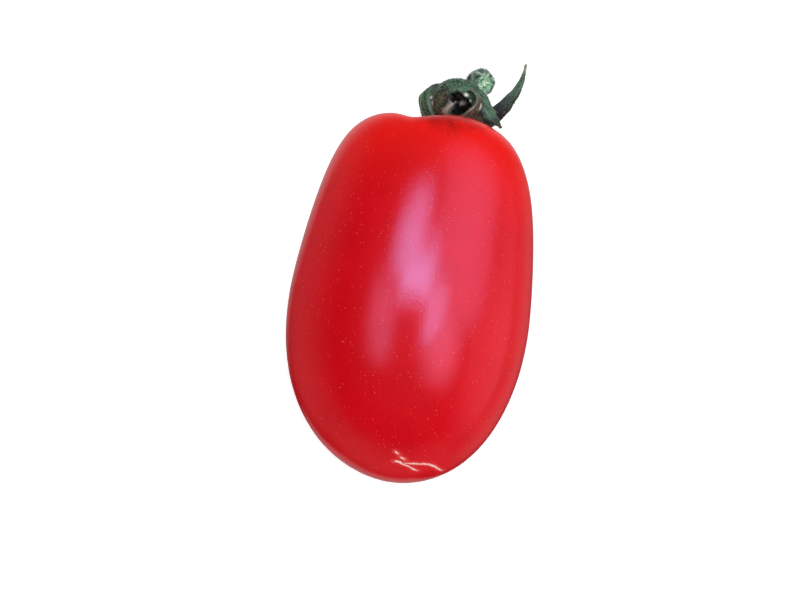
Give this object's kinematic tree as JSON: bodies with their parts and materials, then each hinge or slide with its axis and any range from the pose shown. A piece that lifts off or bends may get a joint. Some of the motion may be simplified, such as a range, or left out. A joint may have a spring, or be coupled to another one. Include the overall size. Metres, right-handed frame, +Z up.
{
  "type": "plum tomato",
  "caption": "Ripe plum tomato lying on its side, a long round-ended fruit with a shallow lobed stem hollow, a curled dry calyx and a short broken stem stub.",
  "frame": {"origin": "middle of the small flat spot that the fruit rests on", "axes": "+Y along the fruit from blossom tip to stem end, +Z up, +X to the right when looking along +Y"},
  "size_m": [0.0484, 0.0916, 0.0462],
  "materials": {
    "fruit_skin": "smooth waxy ripe skin, glossy, deep red with an orange cast at the shoulder and tiny golden flecks",
    "sepal_green": "wilted green sepals, softly hairy, dark and brown where they have dried",
    "stem_green": "green hairy stem with a pale broken end"
  },
  "bodies": {
    "root": {"fruit": "fruit_skin", "calyx": "sepal_green", "stem_stub": "stem_green"}
  },
  "joints": []
}
